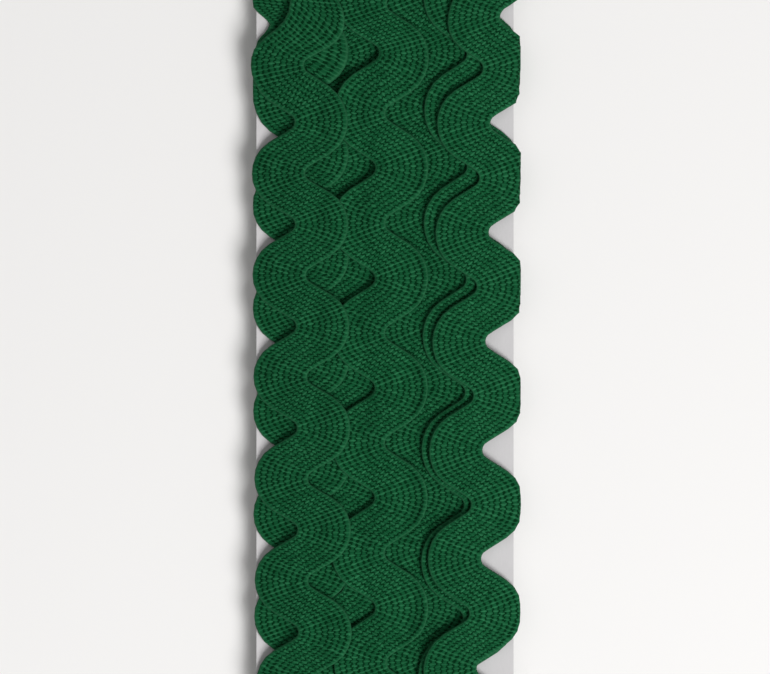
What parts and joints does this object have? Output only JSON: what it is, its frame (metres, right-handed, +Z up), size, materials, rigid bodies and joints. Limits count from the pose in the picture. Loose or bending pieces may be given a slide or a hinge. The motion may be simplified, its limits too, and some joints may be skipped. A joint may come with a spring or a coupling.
{
  "type": "ric rac trim wound on a flat card",
  "caption": "Wide wavy ric rac trim wound lengthwise in overlapping turns round a flat rectangular card, lying on its back.",
  "frame": {"origin": "bottom centre of the bounding box, on the surface that the winding lies on", "axes": "+Y along the card's length, +X across it, +Z up out of its front"},
  "size_m": [0.0441, 0.1594, 0.0079],
  "materials": {
    "card_board": "smooth off-white card, matt",
    "ric_rac": "dark green woven polyester ric rac with a faint lustre on its yarns"
  },
  "bodies": {
    "root": {"card": "card_board", "winding": "ric_rac"}
  },
  "joints": []
}
